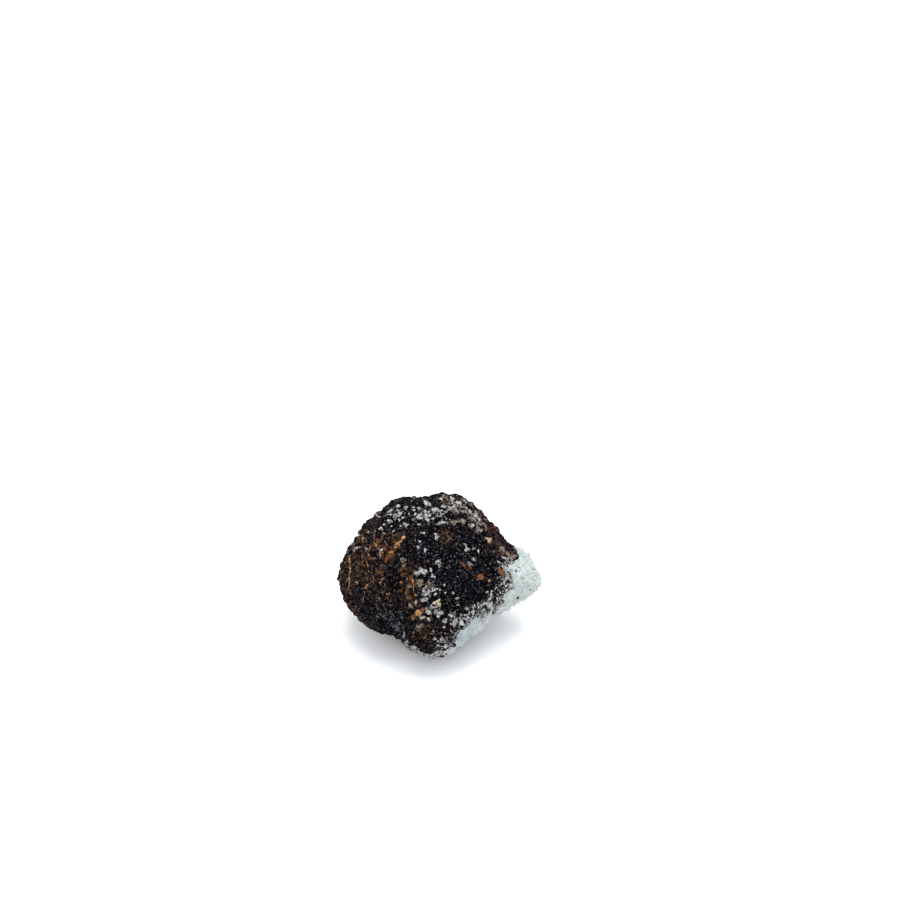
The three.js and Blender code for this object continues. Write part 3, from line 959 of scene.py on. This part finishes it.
def make_crust(crust, material):
    """A closed shell on the skin's faces where the crust lies, each split in four, with a granular outside.
    It thins out towards its edge, to a filling of the grooves, and ends under the skin. Gives the points
    where its grains can lie."""
    kept = FACES[crust[FACES].mean(axis=1) > 0.1]
    used, index = np.unique(kept, return_inverse=True)
    values = np.column_stack([SKIN[used], NORMALS[used], crust[used]])
    values, faces = split_in_four(values, index.reshape(-1, 3))
    points, normals, amount = values[:, :3], unit(values[:, 3:6]), values[:, 6]
    rim = rim_of(faces)
    on_rim = np.zeros(len(points), bool)
    on_rim[np.array(rim).ravel()] = True

    bumps = 0.45 * (grains(points, 1.0, 3.7) - 0.35) + 0.3 * (grains(points, 0.5, 8.1) - 0.35)
    lumps = 1.3 * waves(points, 1.6, 4.4) * (1 - 0.6 * smoothstep(*NOSE_X, points[:, 0]))
    height = np.where(on_rim, -1.0, -0.9 + 0.98 * amount + bumps * (0.4 + 0.6 * amount) + lumps)
    for x, y, reach in FROST_TIPS:
        away = np.linalg.norm(points - seen_at((x, y)), axis=1)
        height += TIP_HEIGHT * near(away, reach * MM_PER_PIXEL)
    outside = points + height[:, None] * normals
    inside = points - (CRUST_THICKNESS + 0.7) * normals
    for layer in (outside, inside):
        layer[:, 2] = np.maximum(layer[:, 2], 0.02)
    count = len(points)
    walls = [(b, a, a + count) for a, b in rim] + [(b, a + count, b + count) for a, b in rim]
    shell = np.concatenate([faces, faces[:, ::-1] + count, np.array(walls)])
    shell_points = np.concatenate([outside, inside])
    piece = make_piece("frost_crust", shell_points, shell, material)
    # Painted shade for the material: grey in the lowest places of the granular outside, and blue-grey
    # towards the band along the lower right edge.
    add_values(piece, "pit_shade", np.tile(smoothstep(0.05, -0.22, bumps), 2))
    add_values(piece, "bluish_band_shade", np.tile(smoothstep(*BLUISH_SHADE_X, points[:, 0]), 2))
    add_map(piece, shell_points, shell, shown=len(faces))
    return outside[amount > 0.6]


def icosahedron():
    """The corners and triangles of an icosahedron. Its edges are 2 long until its corners are pulled in."""
    golden = (1 + math.sqrt(5)) / 2
    corners = [(0, a, b * golden) for a in (-1, 1) for b in (-1, 1)]
    corners = np.array([np.roll(c, turn) for turn in range(3) for c in corners])
    faces = []
    for a in range(12):
        for b in range(a + 1, 12):
            for c in range(b + 1, 12):
                sides = [np.linalg.norm(corners[i] - corners[j]) for i, j in ((a, b), (b, c), (c, a))]
                if max(sides) < 2.01:
                    outward = np.cross(corners[b] - corners[a], corners[c] - corners[a]) @ corners[a] > 0
                    faces.append((a, b, c) if outward else (a, c, b))
    return unit(corners), np.array(faces)


def make_grains(name, places, radii, material, rng):
    """Small rough grains of frost: icosahedra, turned at random, with uneven corners."""
    corners, faces = icosahedron()
    count = len(places)
    turns = unit(rng.normal(size=(count, 4)))
    w, x, y, z = turns.T
    turned = np.array([
        [1 - 2 * (y * y + z * z), 2 * (x * y - w * z), 2 * (x * z + w * y)],
        [2 * (x * y + w * z), 1 - 2 * (x * x + z * z), 2 * (y * z - w * x)],
        [2 * (x * z - w * y), 2 * (y * z + w * x), 1 - 2 * (x * x + y * y)],
    ]).transpose(2, 0, 1)
    sizes = radii[:, None] * rng.uniform(0.7, 1.25, (count, 12))
    points = np.einsum("gij,gcj->gci", turned, corners[None] * sizes[:, :, None]) + places[:, None]
    points = points.reshape(-1, 3)
    points[:, 2] = np.maximum(points[:, 2], 0.01)
    all_faces = (faces[None] + 12 * np.arange(count)[:, None, None]).reshape(-1, 3)
    piece = make_piece(name, points, all_faces, material)
    cells = np.array([(i % 5, i // 5) for i in range(20)])
    corner = np.array([(0.08, 0.08), (0.92, 0.08), (0.08, 0.92)])
    one_grain = (cells[:, None] + corner[None]) / [5, 4]
    set_map(piece, np.tile(one_grain, (count, 1, 1)))


def fleck_places(points, shown, rng):
    """Where the grains of the flecks lie, and their radii: the photograph's flecks, the rim of frost at the
    bottom, and flecks where the photograph can't see, thickest on the top and towards the nose."""
    places, radii = [], []

    def scatter(middle, normal, wide, tall):
        """Adds the grains of one fleck, with a bent outline."""
        side = unit(np.cross([0.0, 0.0, 1.0], normal) + 1e-6)
        along = np.cross(normal, side)
        turns = rng.uniform(0, 2 * np.pi, int(6 + 18 * wide * tall))
        bent = 0.75 + 0.25 * np.sin(2 * turns + rng.uniform(0, 6))
        bent += 0.2 * np.sin(3 * turns + rng.uniform(0, 6))
        reach = np.sqrt(rng.uniform(0, 1, len(turns))) * bent / 2
        for across, up in zip(wide * reach * np.cos(turns), tall * reach * np.sin(turns)):
            places.append(set_down(middle + across * side + up * along, normal, shown))
            radii.append(rng.uniform(*FLECK_GRAIN_RADII))

    rim = [np.array(stop) for stop in FROST_RIM]
    rim = [a + t * (b - a) for a, b in zip(rim[:-1], rim[1:]) for t in (0, 0.17, 0.33, 0.5, 0.67, 0.83)]
    rim = [(x, y - 0.5 + 0.7 * rng.normal(), rng.uniform(3, 5), rng.uniform(2.5, 5)) for x, y in rim]
    for x, y, wide, tall in FLECKS + rim:
        middle = seen_at((x, y))
        normal = NORMALS[np.argmin(np.linalg.norm(SKIN - middle, axis=1))]
        facing = max(0.4, float(normal @ -CAMERA_FORWARD))
        scatter(middle, normal, wide * MM_PER_PIXEL, tall * MM_PER_PIXEL / facing)

    turned_away = np.einsum("ij,ij->i", unit(points - CAMERA_PLACE), NORMALS) > 0.05
    wanted = turned_away * (0.15 + smoothstep(20, 34, SKIN[:, 2]) + 0.8 * smoothstep(10, 22, SKIN[:, 0]))
    for at in rng.choice(len(SKIN), HIDDEN_FLECKS, replace=False, p=wanted / wanted.sum()):
        wide = rng.uniform(0.6, 2.2)
        scatter(points[at], NORMALS[at], wide, wide * rng.uniform(0.5, 0.9))
    return np.array(places), np.array(radii)


def dust_places(points, shown, dust, crust, rng):
    """Where scattered grains of frost lie, single or a few together, and their radii."""
    wanted = np.clip(dust, 0, 1) ** 1.5 * (1 - smoothstep(0.5, 0.8, crust)) * (SKIN[:, 2] > 0.5)
    at = rng.choice(len(points), DUST_CLUMPS, replace=False, p=wanted / wanted.sum())
    at = np.repeat(at, rng.integers(1, 7, DUST_CLUMPS))
    strewn = points[at] + rng.normal(size=(len(at), 3)) * 0.17
    places = np.array([set_down(place, out, shown) for place, out in zip(strewn, NORMALS[at])])
    return places, rng.uniform(*DUST_GRAIN_RADII, len(at))


def make_floor():
    bpy.ops.mesh.primitive_plane_add(size=FLOOR_SIZE)
    floor = bpy.context.active_object
    floor.name = "floor"
    floor.data.materials.append(floor_material())


def add_area_light(name, place, size, power):
    data = bpy.data.lights.new(name, "AREA")
    data.size = size
    data.energy = power
    light = bpy.data.objects.new(name, data)
    light.location = place
    light.rotation_euler = (Vector(HEART * MM) - Vector(place)).to_track_quat("-Z", "Y").to_euler()
    bpy.context.scene.collection.objects.link(light)


def light_scene():
    world = bpy.data.worlds.new("world")
    bpy.context.scene.world = world
    world.use_nodes = True
    background = world.node_tree.nodes["Background"]
    background.inputs["Color"].default_value = (*SKY_COLOUR, 1)
    background.inputs["Strength"].default_value = SKY_STRENGTH
    add_area_light("key", KEY_LIGHT_PLACE, KEY_LIGHT_SIZE, KEY_LIGHT_POWER)
    bpy.context.scene.view_settings.view_transform = "Standard"


past_edge = past_frost_edge()
crust_amount = crust_field(past_edge)
skin_shown = make_skin(past_edge, crust_amount)
shown_tree = BVHTree.FromPolygons(skin_shown.tolist(), FACES.tolist())
make_veins(shown_tree)
make_chips()
frost = frost_material()
crust_outside = make_crust(crust_amount, frost)
chance = np.random.default_rng(SEED)
whitish = fleck_material()
make_grains("frost_flecks", *fleck_places(skin_shown, shown_tree, chance), whitish, chance)
frost_dust = dust_places(skin_shown, shown_tree, dust_field(past_edge), crust_amount, chance)
make_grains("frost_dust", *frost_dust, whitish, chance)
chosen = crust_outside[chance.choice(len(crust_outside), CRUST_GRAINS, replace=False)]
grain_radii = chance.uniform(*CRUST_GRAIN_RADII, len(chosen))
make_grains("frost_grains", chosen, grain_radii, frost, chance)
make_floor()
light_scene()
